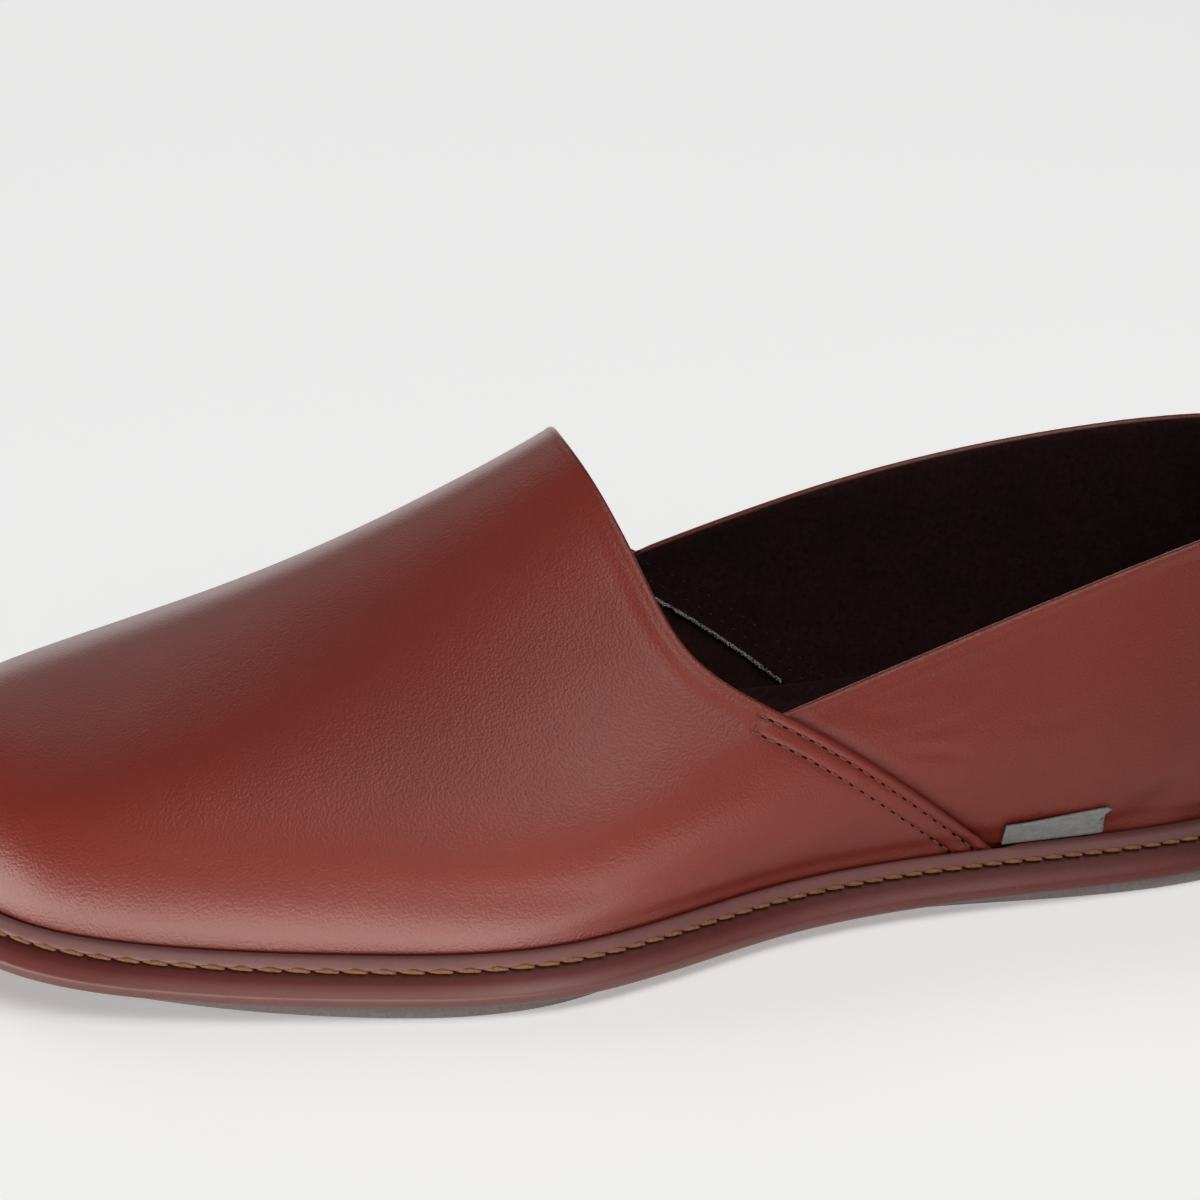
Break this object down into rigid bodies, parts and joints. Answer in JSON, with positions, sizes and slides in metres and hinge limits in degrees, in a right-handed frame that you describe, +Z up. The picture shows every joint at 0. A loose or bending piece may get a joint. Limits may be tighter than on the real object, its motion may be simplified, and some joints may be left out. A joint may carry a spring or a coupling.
{
  "type": "leather house slipper",
  "caption": "Closed-heel slip-on house slipper with a smooth leather vamp lapped over the heel quarter, a stitched welt, a leather-covered platform and a thin outsole.",
  "frame": {"origin": "on the floor, under the middle of the slipper's bounding box", "axes": "+X to the toe, +Y to the outer side of the foot, +Z up"},
  "size_m": [0.272, 0.1034, 0.0786],
  "materials": {
    "upper_leather": "smooth red-brown leather, satin, with a fine grain",
    "welt_leather": "paler matt leather strip",
    "cover_leather": "dark red-brown leather, satin",
    "outsole_rubber": "matt grey",
    "insole_felt": "dark brown short pile",
    "tab_cloth": "pale grey cloth, unprinted"
  },
  "bodies": {
    "root": {"upper": "upper_leather", "welt": "welt_leather", "midsole": "cover_leather", "outsole": "outsole_rubber", "insole": "insole_felt", "label_tab": "tab_cloth"}
  },
  "joints": []
}
